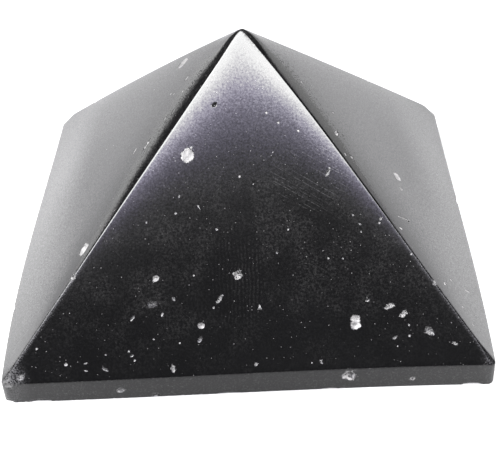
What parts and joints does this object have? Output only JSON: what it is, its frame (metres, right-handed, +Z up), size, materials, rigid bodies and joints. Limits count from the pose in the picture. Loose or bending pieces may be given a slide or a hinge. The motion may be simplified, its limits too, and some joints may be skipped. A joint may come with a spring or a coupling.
{
  "type": "obsidian pyramid",
  "caption": "Low four-sided pyramid of polished black volcanic glass on a short upright girdle, with small gas pits, pale inclusions and edge chips.",
  "frame": {"origin": "middle of the flat underside, on the surface that the pyramid rests on", "axes": "+Z up to the tip, -Y out of the front side, +X to the viewer's right"},
  "size_m": [0.0512, 0.0508, 0.0286],
  "materials": {
    "obsidian": "near-black volcanic glass with polished sides, a satin ground girdle and underside, white gas pits and grey chips"
  },
  "bodies": {
    "root": {"obsidian_pyramid": "obsidian"}
  },
  "joints": []
}
